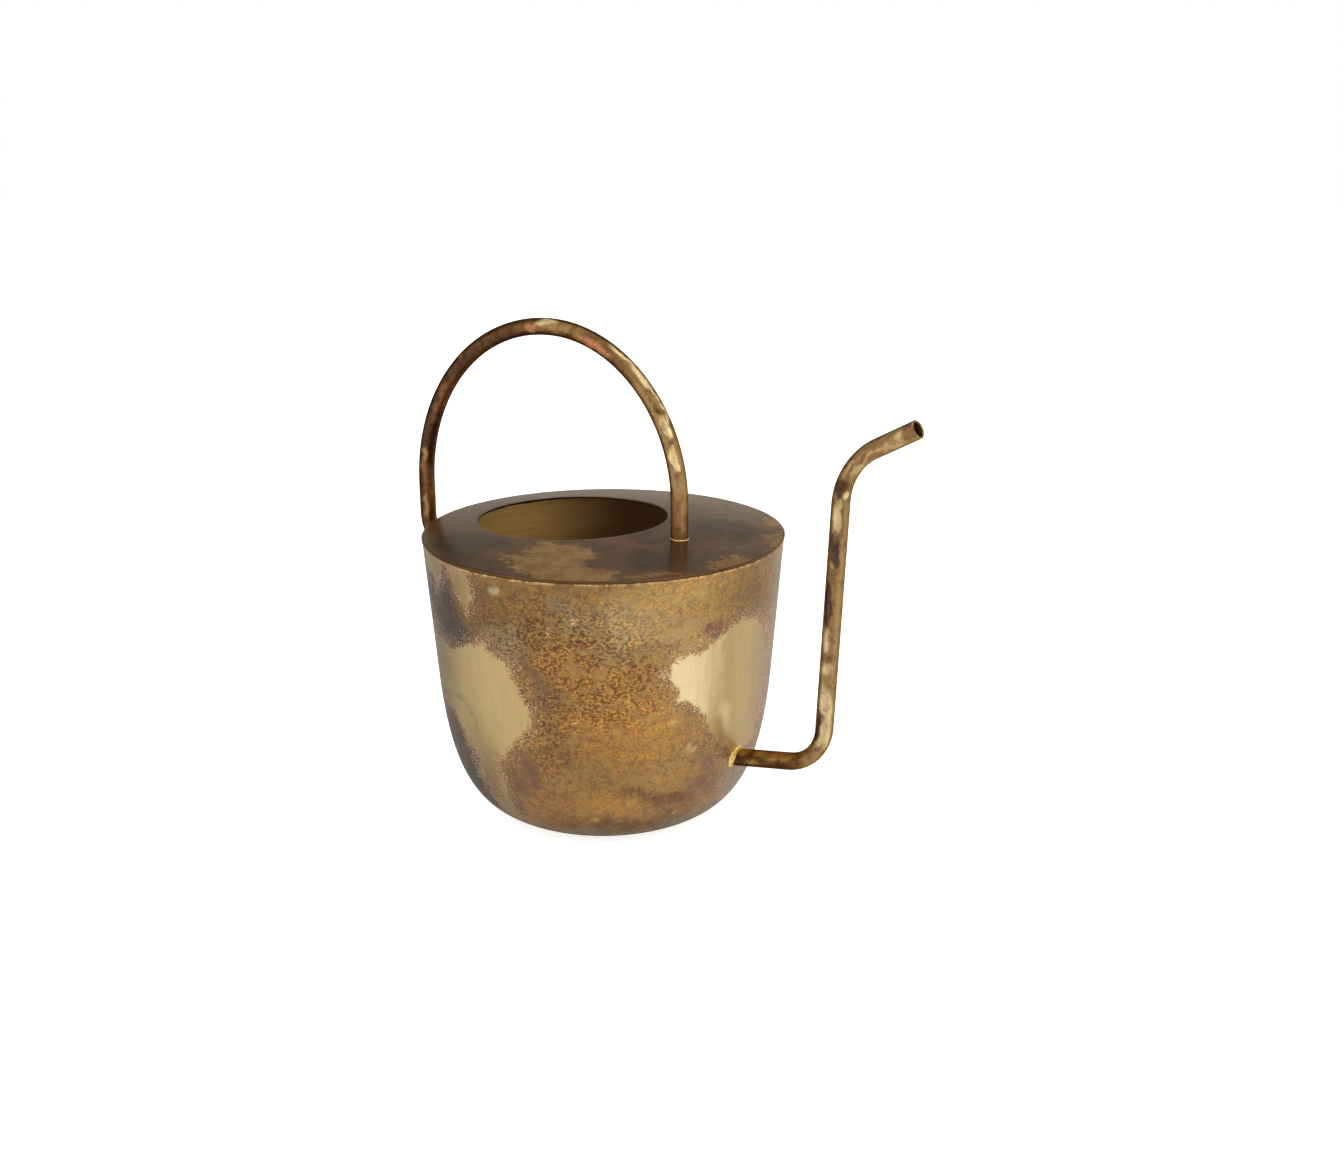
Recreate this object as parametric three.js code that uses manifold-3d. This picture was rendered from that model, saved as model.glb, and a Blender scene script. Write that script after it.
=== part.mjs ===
// Indoor watering can in brass: a spun bowl, a slightly crowned top plate with an off-centre filling hole,
// a bent-tube hoop handle and a bent-tube goose-neck spout, all soldered together.
// Millimetres, +Z up. Origin: centre of the flat base. The spout points along +X.
// The handle and the spout lie in the plane Y = 0.
import * as THREE from 'three';
import { mergeVertices } from 'three/addons/utils/BufferGeometryUtils.js';
import Module from 'manifold-3d';

// Driving dimensions
const BODY_RADIUS = 75; // wall radius carried up to the plate's edge
const BODY_HEIGHT = 120; // base to the upper edge of the plate
const SHEET = 1.2; // sheet brass of the bowl and the plate
const TUBE_RADIUS = 3.55; // handle and spout are bent from the same tube
const TUBE_WALL = 0.75;
const GAP = 0.3; // clearance between touching pieces

// Bowl: flat base, round lower corner, then a straight wall that leans out
const WALL_LEAN = THREE.MathUtils.degToRad(4.4);
const STRAIGHT_FROM = 62; // height where the straight wall starts
const BASE_FLAT_RADIUS = 29;
const BASE_PULL = 23.5; // how far the round corner follows the base
const WALL_PULL = 54; // how far the round corner follows the wall
const CORNER_STEPS = 12;
const TURN_STEPS = 64; // segments round the can's axis

// Top plate: a shallow crown with a round filling hole, off centre towards the rear leg
const PLATE_RADIUS = BODY_RADIUS + 0.25; // its edge stands a little proud of the wall
const PLATE_CROWN = 3; // rise from the edge to the can's axis
const PLATE_STEPS = 7;
const HOLE_CENTRE = new THREE.Vector2(-19.7, 3.7);
const HOLE_RADIUS = 40.4;

// Handle: straight front leg, two quarter arcs that meet at the crown, rear leg, bend into the back wall
const CROWN_X = -27;
const CROWN_Z = BODY_HEIGHT + 82.1; // tube centre line at its highest
const FRONT_ARC = 65.5;
const REAR_ARC = 75.1;
const REAR_LEG_END_Z = BODY_HEIGHT - 7.3; // where the rear leg starts to bend to the wall
const LEG_BEND = 16;

// Spout: root through the wall, bend, riser, bend, tip cut square
const ROOT_AXIS_Z = 22.4; // centre line where it would meet the can's axis
const ROOT_RISE = THREE.MathUtils.degToRad(10.3);
const RISER_X = 107; // centre line at the corner of root and riser
const RISER_LEAN = THREE.MathUtils.degToRad(2.5);
const RISER_TOP_Z = BODY_HEIGHT + 42.2; // corner of riser and tip
const TIP_RISE = THREE.MathUtils.degToRad(28.6);
const TIP_LENGTH = 33.5; // from that corner to the end
const ROOT_BEND = 18.7;
const TIP_BEND = 26.5;
const ROOT_INSIDE = 2; // length of tube inside the can

// Tube meshes
const TUBE_SIDES = 12;
const TUBE_STEP = 6; // length of one straight facet along a tube

// Solder
const FRONT_FILLET = 0.8; // fillet height along the tube and width on the sheet
const REAR_FILLET = 1.4;
const ROOT_FILLET = 1.8;
const FILLET_STEPS = 4;
const FILLET_SIDES = 20;
const SEAM_BEAD = 2.4; // leg of the bead under the plate

const Z_AXIS = new THREE.Vector3(0, 0, 1);
const wasm = await Module();
wasm.setup();

// An arc in the plane Y = 0, from one angle to another, both measured from +X towards +Z.
class PlaneArc extends THREE.Curve {
  constructor(centreX, centreZ, radius, startAngle, endAngle) {
    super();
    Object.assign(this, { centreX, centreZ, radius, startAngle, endAngle });
  }

  getPoint(t, target = new THREE.Vector3()) {
    const angle = THREE.MathUtils.lerp(this.startAngle, this.endAngle, t);
    const x = this.centreX + this.radius * Math.cos(angle);
    const z = this.centreZ + this.radius * Math.sin(angle);
    return target.set(x, 0, z);
  }
}

function planePoint(x, z) {
  return new THREE.Vector3(x, 0, z);
}

// Joins corner points with straight lines and rounds every inner corner to its bend radius.
function bentLine(corners, bends) {
  const path = new THREE.CurvePath();
  let from = corners[0];
  for (let i = 1; i < corners.length - 1; i += 1) {
    const corner = corners[i];
    const back = corners[i - 1].clone().sub(corner).normalize();
    const ahead = corners[i + 1].clone().sub(corner).normalize();
    const half = back.angleTo(ahead) / 2;
    const reach = bends[i - 1] / Math.tan(half);
    const bisector = back.clone().add(ahead).normalize();
    const centre = corner.clone().addScaledVector(bisector, bends[i - 1] / Math.sin(half));
    const start = corner.clone().addScaledVector(back, reach);
    const end = corner.clone().addScaledVector(ahead, reach);
    const startAngle = Math.atan2(start.z - centre.z, start.x - centre.x);
    let sweep = Math.atan2(end.z - centre.z, end.x - centre.x) - startAngle;
    sweep -= 2 * Math.PI * Math.round(sweep / (2 * Math.PI));
    path.add(new THREE.LineCurve3(from, start));
    path.add(new PlaneArc(centre.x, centre.z, bends[i - 1], startAngle, startAngle + sweep));
    from = end;
  }
  path.add(new THREE.LineCurve3(from, corners.at(-1)));
  return path;
}

function toSolid(geometry) {
  const bare = geometry.clone();
  bare.deleteAttribute('normal');
  bare.deleteAttribute('uv');
  const merged = mergeVertices(bare, 1e-4);
  const vertProperties = new Float32Array(merged.attributes.position.array);
  const triVerts = new Uint32Array(merged.index.array);
  return new wasm.Manifold(new wasm.Mesh({ numProp: 3, vertProperties, triVerts }));
}

function toGeometry(solid) {
  const mesh = solid.getMesh();
  const geometry = new THREE.BufferGeometry();
  geometry.setAttribute('position', new THREE.BufferAttribute(new Float32Array(mesh.vertProperties), 3));
  geometry.setIndex(new THREE.BufferAttribute(new Uint32Array(mesh.triVerts), 1));
  geometry.computeVertexNormals();
  return geometry;
}

// Turns a profile of (radius, height) points round the Z axis.
function turned(profile, segments) {
  return new THREE.LatheGeometry(profile, segments).rotateX(Math.PI / 2);
}

// The curveSegments that give a full circle this many sides: a THREE.Path draws two for each of them.
function segmentsFor(sides) {
  return sides / 2;
}

// Sweeps a round tube, or a round bar where no wall is given, along a curve.
function sweptTube(path, radius, wall = 0) {
  const section = new THREE.Shape().absarc(0, 0, radius, 0, 2 * Math.PI);
  if (wall > 0) {
    section.holes.push(new THREE.Path().absarc(0, 0, radius - wall, 0, 2 * Math.PI, true));
  }
  const steps = Math.ceil(path.getLength() / TUBE_STEP);
  const curveSegments = segmentsFor(TUBE_SIDES);
  return new THREE.ExtrudeGeometry(section, { steps, extrudePath: path, curveSegments });
}

function wallRadius(z) {
  return BODY_RADIUS - (BODY_HEIGHT - z) * Math.tan(WALL_LEAN);
}

// Height of the plate's top face at a distance from the can's axis.
function plateZ(radius) {
  return BODY_HEIGHT + PLATE_CROWN * (1 - (radius / PLATE_RADIUS) ** 2);
}

// The bowl's wall as (radius, height) points from the axis up to topZ, set in from the outside by `inset`.
function wallOutline(inset, topZ) {
  const up = new THREE.Vector2(Math.sin(WALL_LEAN), Math.cos(WALL_LEAN));
  const cornerEnd = new THREE.Vector2(wallRadius(STRAIGHT_FROM), STRAIGHT_FROM);
  const corner = new THREE.CubicBezierCurve(
    new THREE.Vector2(BASE_FLAT_RADIUS, 0),
    new THREE.Vector2(BASE_FLAT_RADIUS + BASE_PULL, 0),
    cornerEnd.clone().addScaledVector(up, -WALL_PULL),
    cornerEnd,
  );
  const points = [new THREE.Vector2(0, inset)];
  for (let i = 0; i <= CORNER_STEPS; i += 1) {
    const along = corner.getTangent(i / CORNER_STEPS);
    const inward = new THREE.Vector2(-along.y, along.x);
    points.push(corner.getPoint(i / CORNER_STEPS).addScaledVector(inward, inset));
  }
  points.push(new THREE.Vector2(wallRadius(topZ) - inset / Math.cos(WALL_LEAN), topZ));
  return points;
}

// The space that the bowl fills, a little larger all round, used to trim pieces that meet its wall.
function bowlWithClearance() {
  const outline = wallOutline(-GAP, BODY_HEIGHT);
  return toSolid(turned([...outline, new THREE.Vector2(0, BODY_HEIGHT)], TURN_STEPS));
}

// A shallow crown: its top face is the plate's, moved up by `rise`, and its underside `thickness` lower.
function crown(rise, thickness) {
  const top = [];
  for (let i = 0; i <= PLATE_STEPS; i += 1) {
    const radius = (PLATE_RADIUS * i) / PLATE_STEPS;
    top.push(new THREE.Vector2(radius, plateZ(radius) + rise));
  }
  const underside = top.map((point) => new THREE.Vector2(point.x, point.y - thickness));
  return toSolid(turned([...underside, ...top.reverse()], TURN_STEPS));
}

function spoutPath(startX) {
  const rootZ = (x) => ROOT_AXIS_Z + x * Math.tan(ROOT_RISE);
  const lowerZ = rootZ(RISER_X);
  const upperX = RISER_X + (RISER_TOP_Z - lowerZ) * Math.tan(RISER_LEAN);
  const corners = [
    planePoint(startX, rootZ(startX)),
    planePoint(RISER_X, lowerZ),
    planePoint(upperX, RISER_TOP_Z),
    planePoint(upperX + TIP_LENGTH * Math.cos(TIP_RISE), RISER_TOP_Z + TIP_LENGTH * Math.sin(TIP_RISE)),
  ];
  return bentLine(corners, [ROOT_BEND, TIP_BEND]);
}

function handlePath() {
  const frontX = CROWN_X + FRONT_ARC;
  const rearX = CROWN_X - REAR_ARC;
  const frontArcZ = CROWN_Z - FRONT_ARC;
  const rearArcZ = CROWN_Z - REAR_ARC;
  const bendX = rearX + LEG_BEND;
  const endZ = REAR_LEG_END_Z - LEG_BEND;
  const path = new THREE.CurvePath();
  path.add(new THREE.LineCurve3(planePoint(frontX, BODY_HEIGHT), planePoint(frontX, frontArcZ)));
  path.add(new PlaneArc(CROWN_X, frontArcZ, FRONT_ARC, 0, Math.PI / 2));
  path.add(new PlaneArc(CROWN_X, rearArcZ, REAR_ARC, Math.PI / 2, Math.PI));
  path.add(new THREE.LineCurve3(planePoint(rearX, rearArcZ), planePoint(rearX, REAR_LEG_END_Z)));
  path.add(new PlaneArc(bendX, REAR_LEG_END_Z, LEG_BEND, Math.PI, 1.5 * Math.PI));
  path.add(new THREE.LineCurve3(planePoint(bendX, endZ), planePoint(-wallRadius(endZ) + SHEET, endZ)));
  return path;
}

// A concave ring of solder round a tube, standing on Z = 0 and reaching `depth` below it.
function filletRing(spread, depth) {
  const inner = TUBE_RADIUS + GAP;
  const profile = [new THREE.Vector2(inner, -depth), new THREE.Vector2(inner + spread, -depth)];
  for (let i = 0; i <= FILLET_STEPS; i += 1) {
    const angle = (i / FILLET_STEPS) * (Math.PI / 2);
    const radius = inner + spread * (1 - 0.9 * Math.sin(angle));
    profile.push(new THREE.Vector2(radius, spread * (1 - Math.cos(angle))));
  }
  profile.push(new THREE.Vector2(inner, spread));
  profile.push(profile[0].clone());
  return turned(profile, FILLET_SIDES);
}

// A fillet round a tube that stands on a sheet at `point`, trimmed to that sheet.
function trimmedFillet(spread, point, direction, sheet) {
  const ring = filletRing(spread, 2 * spread);
  ring.applyQuaternion(new THREE.Quaternion().setFromUnitVectors(Z_AXIS, direction));
  ring.translate(point.x, point.y, point.z);
  return toGeometry(toSolid(ring).subtract(sheet));
}

function bodyShell() {
  const rimZ = BODY_HEIGHT - SHEET - GAP;
  const outline = [...wallOutline(0, rimZ), ...wallOutline(SHEET, rimZ).reverse()];
  const spoutBore = toSolid(sweptTube(spoutPath(BASE_FLAT_RADIUS), TUBE_RADIUS + GAP));
  return toGeometry(toSolid(turned(outline, TURN_STEPS)).subtract(spoutBore));
}

function topPlate() {
  const punch = new THREE.CylinderGeometry(HOLE_RADIUS, HOLE_RADIUS, 4 * PLATE_CROWN, TURN_STEPS);
  punch.rotateX(Math.PI / 2);
  punch.translate(HOLE_CENTRE.x, HOLE_CENTRE.y, BODY_HEIGHT);
  return toGeometry(crown(0, SHEET).subtract(toSolid(punch)));
}

function plateSeamSolder() {
  const top = BODY_HEIGHT - SHEET - GAP;
  const outer = (z) => wallRadius(z) - SHEET - 1.2 * GAP;
  const profile = [
    new THREE.Vector2(outer(top - SEAM_BEAD), top - SEAM_BEAD),
    new THREE.Vector2(outer(top), top),
    new THREE.Vector2(outer(top) - SEAM_BEAD, top),
  ];
  return turned([...profile, profile[0].clone()], TURN_STEPS);
}

function handleTube() {
  const tube = toSolid(sweptTube(handlePath(), TUBE_RADIUS, TUBE_WALL));
  return toGeometry(tube.subtract(bowlWithClearance()).subtract(crown(GAP, 2 * PLATE_CROWN)));
}

function handleFrontSolder() {
  const x = CROWN_X + FRONT_ARC;
  const foot = planePoint(x, plateZ(x) + GAP);
  return trimmedFillet(FRONT_FILLET, foot, Z_AXIS, crown(GAP, 2 * PLATE_CROWN));
}

function handleRearSolder() {
  const z = REAR_LEG_END_Z - LEG_BEND;
  const foot = planePoint(-wallRadius(z) - GAP, z);
  return trimmedFillet(REAR_FILLET, foot, new THREE.Vector3(-1, 0, 0), bowlWithClearance());
}

// The root's centre line crosses the bowl's rounded wall; the crossing is found by stepping outwards.
function spoutWallPoint() {
  const outline = wallOutline(0, BODY_HEIGHT).slice(1);
  for (let i = 1; i < outline.length; i += 1) {
    const [low, high] = [outline[i - 1], outline[i]];
    const lineZ = (r) => ROOT_AXIS_Z + r * Math.tan(ROOT_RISE);
    const lowMiss = low.y - lineZ(low.x);
    const highMiss = high.y - lineZ(high.x);
    if (lowMiss <= 0 && highMiss > 0) {
      const crossing = low.clone().lerp(high, lowMiss / (lowMiss - highMiss));
      return planePoint(crossing.x, crossing.y);
    }
  }
  throw new Error('the spout misses the wall');
}

function spoutTube() {
  return sweptTube(spoutPath(spoutWallPoint().x - SHEET - ROOT_INSIDE), TUBE_RADIUS, TUBE_WALL);
}

function spoutRootSolder() {
  const direction = new THREE.Vector3(Math.cos(ROOT_RISE), 0, Math.sin(ROOT_RISE));
  const foot = spoutWallPoint().addScaledVector(direction, GAP);
  return trimmedFillet(ROOT_FILLET, foot, direction, bowlWithClearance());
}

function brass(color, roughness) {
  return new THREE.MeshStandardMaterial({ color, roughness, metalness: 1 });
}

const PIECES = [
  ['body_shell', bodyShell, brass(0x8f6f3c, 0.5)],
  ['top_plate', topPlate, brass(0x7c6440, 0.45)],
  ['plate_seam_solder', plateSeamSolder, brass(0x9a8b62, 0.5)],
  ['handle_tube', handleTube, brass(0x7d5c38, 0.4)],
  ['handle_front_solder', handleFrontSolder, brass(0xc9a765, 0.35)],
  ['handle_rear_solder', handleRearSolder, brass(0xc9a765, 0.35)],
  ['spout_tube', spoutTube, brass(0xa68a58, 0.4)],
  ['spout_root_solder', spoutRootSolder, brass(0xd0ad66, 0.35)],
];

const wateringCan = new THREE.Group();
for (const [name, makeGeometry, material] of PIECES) {
  const mesh = new THREE.Mesh(makeGeometry(), material);
  mesh.name = name;
  wateringCan.add(mesh);
}

export default wateringCan;
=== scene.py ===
"""Looks for the patinated brass watering can: smooth sheet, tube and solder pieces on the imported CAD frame,
procedural patina, studio light and the camera. Metres, +Z up; the spout points along +X."""
import math

import bmesh
import bpy
import numpy as np
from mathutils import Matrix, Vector, noise


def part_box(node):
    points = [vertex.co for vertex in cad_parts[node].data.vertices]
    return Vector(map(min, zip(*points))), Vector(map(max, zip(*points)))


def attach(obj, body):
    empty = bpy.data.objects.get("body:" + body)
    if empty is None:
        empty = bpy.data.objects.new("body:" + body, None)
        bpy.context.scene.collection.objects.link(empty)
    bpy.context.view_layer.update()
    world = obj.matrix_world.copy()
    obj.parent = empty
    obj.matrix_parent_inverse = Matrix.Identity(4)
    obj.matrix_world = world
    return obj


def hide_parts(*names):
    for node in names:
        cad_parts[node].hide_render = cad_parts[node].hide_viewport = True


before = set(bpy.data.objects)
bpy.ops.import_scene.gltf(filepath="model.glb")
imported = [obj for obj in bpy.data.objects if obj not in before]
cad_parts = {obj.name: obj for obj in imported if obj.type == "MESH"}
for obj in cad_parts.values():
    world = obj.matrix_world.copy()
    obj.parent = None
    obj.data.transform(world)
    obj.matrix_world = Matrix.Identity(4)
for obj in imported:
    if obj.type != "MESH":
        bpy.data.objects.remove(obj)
# Unseeded, noise_vector starts from the clock, and the painted outlines shift from run to run.
noise.seed_set(1)
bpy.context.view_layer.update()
MM = 0.001

# -------------------- dimensions, from the frame where it has them
HANDLE_LOW, HANDLE_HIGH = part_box("handle_tube")
SHEET = 1.2 * MM
PLATE_LOW, PLATE_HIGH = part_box("top_plate")
RIM_Z = PLATE_LOW.z  # the bowl's rim meets the underside of the plate's edge
TOP_Z = RIM_Z + SHEET  # upper edge of the plate
PLATE_RADIUS = PLATE_HIGH.x
PLATE_CROWN = 3 * MM  # the plate rises this much from its edge to the axis
BODY_RADIUS = PLATE_RADIUS - 0.25 * MM
TUBE_RADIUS = 3.55 * MM
TUBE_WALL = 0.75 * MM
WALL_LEAN = math.radians(4.4)
STRAIGHT_FROM = 62 * MM
BASE_FLAT_RADIUS = 29 * MM
BASE_PULL = 23.5 * MM
WALL_PULL = 54 * MM

HOLE_CENTRE = Vector((-19.7 * MM, 3.7 * MM))
HOLE_RADIUS = 40.4 * MM

CROWN_X = -27 * MM
CROWN_Z = HANDLE_HIGH.z - TUBE_RADIUS
FRONT_ARC = 65.5 * MM
REAR_ARC = CROWN_X - HANDLE_LOW.x - TUBE_RADIUS
LEG_BEND = 16 * MM
SEATING = 0.3 * MM  # the front leg reaches this far into the plate
HANDLE_FLATTENING = 0.03  # share of its thickness that a bend loses
REAR_LEG_END_Z = TOP_Z - 7.3 * MM

ROOT_AXIS_Z = 22.4 * MM
ROOT_RISE = math.radians(10.3)
RISER_X = 107 * MM
RISER_LEAN = math.radians(2.5)
RISER_TOP_Z = TOP_Z + 42.2 * MM
TIP_RISE = math.radians(28.6)
TIP_LENGTH = 33.5 * MM
ROOT_BEND = 18.7 * MM
TIP_BEND = 26.5 * MM
ROOT_INSIDE = 2 * MM
SPOUT_FLATTENING = 0.08

# -------------------- camera
VIEW_AZIMUTH = math.radians(35.7)
VIEW_PITCH = math.radians(16.5)
PLATE_DISTANCE = 614.5 * MM  # from the camera to the plate's centre, along the line of sight
AIM_RIGHT = 28.3 * MM  # the line of sight passes this far right of the plate's centre
AIM_DOWN = 19.3 * MM  # and this far below it
LENS = 39.5
SENSOR = 36


def make_camera():
    ahead = Vector((
        -math.sin(VIEW_AZIMUTH) * math.cos(VIEW_PITCH),
        math.cos(VIEW_AZIMUTH) * math.cos(VIEW_PITCH),
        -math.sin(VIEW_PITCH),
    ))
    right = Vector((math.cos(VIEW_AZIMUTH), math.sin(VIEW_AZIMUTH), 0))
    down = ahead.cross(right)
    aim = Vector((0, 0, TOP_Z)) + right * AIM_RIGHT + down * AIM_DOWN
    data = bpy.data.cameras.new("photo_camera")
    data.lens = LENS
    data.sensor_width = SENSOR
    data.clip_start = 0.01
    camera = bpy.data.objects.new("photo_camera", data)
    bpy.context.scene.collection.objects.link(camera)
    camera.location = aim - ahead * PLATE_DISTANCE
    camera.rotation_euler = ahead.to_track_quat("-Z", "Y").to_euler()
    bpy.context.scene.camera = camera


# -------------------- meshes
def new_piece(name, points, faces, material, node):
    mesh = bpy.data.meshes.new(name)
    mesh.from_pydata(points, [], faces)
    mesh.validate()
    cleaned = bmesh.new()
    cleaned.from_mesh(mesh)
    bmesh.ops.recalc_face_normals(cleaned, faces=cleaned.faces)
    cleaned.to_mesh(mesh)
    cleaned.free()
    mesh.shade_smooth()
    piece = bpy.data.objects.new(name, mesh)
    bpy.context.scene.collection.objects.link(piece)
    piece.data.materials.append(material)
    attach(piece, "root")
    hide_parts(node)
    return piece


def grid_faces(rows, columns, wrap_rows):
    """Quads of a grid whose columns close on themselves, as its rows do where wrap_rows is true."""
    faces = []
    for row in range(rows if wrap_rows else rows - 1):
        below = ((row + 1) % rows) * columns
        here = row * columns
        for column in range(columns):
            beside = (column + 1) % columns
            faces.append((here + column, here + beside, below + beside, below + column))
    return faces


def circle(count):
    """(cosine, sine) of evenly spaced angles round a full turn."""
    angles = [2 * math.pi * step / count for step in range(count)]
    return [(math.cos(angle), math.sin(angle)) for angle in angles]


def revolve(profile, segments):
    """Turns (radius, height) points round Z. A profile that starts and ends at radius 0 gets pole points."""
    has_poles = profile[0][0] == 0
    rings = profile[1:-1] if has_poles else profile
    points = []
    for radius, height in rings:
        points += [(radius * x, radius * y, height) for x, y in circle(segments)]
    faces = grid_faces(len(rings), segments, not has_poles)
    if has_poles:
        first = len(points)
        last = first + 1
        points += [(0, 0, profile[0][1]), (0, 0, profile[-1][1])]
        end = (len(rings) - 1) * segments
        for step in range(segments):
            beside = (step + 1) % segments
            faces.append((first, beside, step))
            faces.append((last, end + step, end + beside))
    return points, faces


def wall_radius(height):
    return BODY_RADIUS - (TOP_Z - height) * math.tan(WALL_LEAN)


def plate_z(x, y):
    """Height of the crowned plate's top face."""
    return TOP_Z + PLATE_CROWN * (1 - (x * x + y * y) / PLATE_RADIUS**2)


def corner_point(t):
    """Place and direction on the bowl's round lower corner, from the flat base at 0 to the wall at 1."""
    top = Vector((wall_radius(STRAIGHT_FROM), STRAIGHT_FROM))
    up = Vector((math.sin(WALL_LEAN), math.cos(WALL_LEAN)))
    pulls = (
        Vector((BASE_FLAT_RADIUS, 0)),
        Vector((BASE_FLAT_RADIUS + BASE_PULL, 0)),
        top - up * WALL_PULL,
        top,
    )
    s = 1 - t
    place = s**3 * pulls[0] + 3 * s * s * t * pulls[1] + 3 * s * t * t * pulls[2] + t**3 * pulls[3]
    steps = [after - before for before, after in zip(pulls, pulls[1:])]
    along = s * s * steps[0] + 2 * s * t * steps[1] + t * t * steps[2]
    return place, along.normalized()


def wall_outline(inset, top_z, corner_steps, wall_steps):
    """The bowl's section from the axis up to top_z, set in from the outside by inset."""
    base_steps = 6
    outline = [(BASE_FLAT_RADIUS * step / base_steps, inset) for step in range(base_steps)]
    for step in range(corner_steps + 1):
        place, along = corner_point(step / corner_steps)
        outline.append((place.x - along.y * inset, place.y + along.x * inset))
    for step in range(1, wall_steps + 1):
        height = STRAIGHT_FROM + (top_z - STRAIGHT_FROM) * step / wall_steps
        outline.append((wall_radius(height) - inset / math.cos(WALL_LEAN), height))
    return outline


def make_bowl(material):
    rounding = 0.2 * MM
    outside = wall_outline(0, RIM_Z - rounding, corner_steps=64, wall_steps=48)
    inside = wall_outline(SHEET, RIM_Z - rounding, corner_steps=40, wall_steps=16)
    rim = [
        (outside[-1][0] - rounding * 0.3, RIM_Z - rounding * 0.3),
        (outside[-1][0] - rounding, RIM_Z),
        (inside[-1][0] + rounding, RIM_Z),
        (inside[-1][0] + rounding * 0.3, RIM_Z - rounding * 0.3),
    ]
    points, faces = revolve(outside + rim + inside[::-1], segments=384)
    bowl = new_piece("bowl", points, faces, material, "body_shell")
    open_spout_bore(bowl)
    return bowl


def open_spout_bore(bowl):
    """Cuts the hole that the spout's root sits in."""
    radius = TUBE_RADIUS - TUBE_WALL / 2
    drill_mesh = bpy.data.meshes.new("drill")
    drill_shape = bmesh.new()
    bmesh.ops.create_cone(
        drill_shape, cap_ends=True, segments=48, radius1=radius, radius2=radius, depth=10 * SHEET,
    )
    drill_shape.to_mesh(drill_mesh)
    drill_shape.free()
    drill = bpy.data.objects.new("drill", drill_mesh)
    bpy.context.scene.collection.objects.link(drill)
    drill.location = spout_wall_point()
    drill.rotation_euler = root_direction().to_track_quat("Z", "Y").to_euler()
    cut = bowl.modifiers.new("spout_bore", "BOOLEAN")
    cut.operation = "DIFFERENCE"
    cut.object = drill
    cut.solver = "EXACT"
    bpy.context.view_layer.update()
    evaluated = bowl.evaluated_get(bpy.context.evaluated_depsgraph_get())
    cut_mesh = bpy.data.meshes.new_from_object(evaluated)
    bowl.modifiers.remove(cut)
    bowl.data = cut_mesh
    bpy.data.objects.remove(drill)


def make_plate(material):
    """A ring of sheet from the round outer edge to the filling hole, with both edges softly rounded."""
    turns = 288
    top_steps = 36
    under_steps = 8
    round_steps = 6
    outer_round = 0.45 * MM
    hole_round = 0.35 * MM
    under_round = 0.3
    section = []  # (share of the way from rim to hole, inset from that edge, depth under the top face)
    for step in range(round_steps + 1):
        angle = math.pi / 2 * step / round_steps
        section.append((0, outer_round * (1 - math.cos(angle)), outer_round * (1 - math.sin(angle))))
    for step in range(1, top_steps):
        section.append((step / top_steps, 0, 0))
    for step in range(round_steps + 1):
        angle = math.pi / 2 * step / round_steps
        section.append((1, hole_round * (1 - math.sin(angle)), hole_round * (1 - math.cos(angle))))
    section.append((1, hole_round * under_round, SHEET))
    for step in range(1, under_steps):
        section.append((1 - step / under_steps, 0, SHEET))
    section.append((0, outer_round * under_round, SHEET))
    points = []
    for share, inset, depth in section:
        for ray in map(Vector, circle(turns)):
            rim = ray * (PLATE_RADIUS - (inset if share == 0 else 0))
            hole = HOLE_CENTRE + ray * (HOLE_RADIUS + (inset if share == 1 else 0))
            place = rim.lerp(hole, share)
            points.append((place.x, place.y, plate_z(place.x, place.y) - depth))
    faces = grid_faces(len(section), turns, True)
    return new_piece("plate", points, faces, material, "top_plate")


def bent_line(corners, bends, spacing):
    """Samples, as sample_stretches gives them, of straight lines whose corners are rounded by bends."""
    stretches = []
    start = corners[0]
    for corner, before, after, bend in zip(corners[1:-1], corners[:-2], corners[2:], bends):
        back = (before - corner).normalized()
        on = (after - corner).normalized()
        half = back.angle(on) / 2
        begin = corner + back * (bend / math.tan(half))
        centre = corner + (back + on).normalized() * (bend / math.sin(half))
        finish = corner + on * (bend / math.tan(half))
        first = math.atan2(begin.y - centre.y, begin.x - centre.x)
        sweep = math.atan2(finish.y - centre.y, finish.x - centre.x) - first
        sweep -= 2 * math.pi * round(sweep / (2 * math.pi))
        stretches.append(("line", start, begin))
        stretches.append(("arc", centre, bend, first, sweep))
        start = finish
    stretches.append(("line", start, corners[-1]))
    return sample_stretches(stretches, spacing)


def sample_stretches(stretches, spacing):
    """(place, direction, share of the bend) at even steps along lines and arcs in the X, Z plane."""
    samples = []
    for stretch in stretches:
        is_arc = stretch[0] == "arc"
        length = abs(stretch[2] * stretch[4]) if is_arc else (stretch[2] - stretch[1]).length
        count = max(2, math.ceil(length / spacing))
        for step in range(count):
            share = step / count
            samples.append(stretch_point(stretch, share))
    samples.append(stretch_point(stretches[-1], 1))
    return samples


def stretch_point(stretch, share):
    if stretch[0] == "line":
        _, start, end = stretch
        return start.lerp(end, share), (end - start).normalized(), 0
    _, centre, radius, first, sweep = stretch
    angle = first + sweep * share
    turn = 1 if sweep > 0 else -1
    ray = Vector((math.cos(angle), math.sin(angle)))
    return centre + ray * radius, Vector((-ray.y, ray.x)) * turn, math.sin(math.pi * share)


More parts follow.
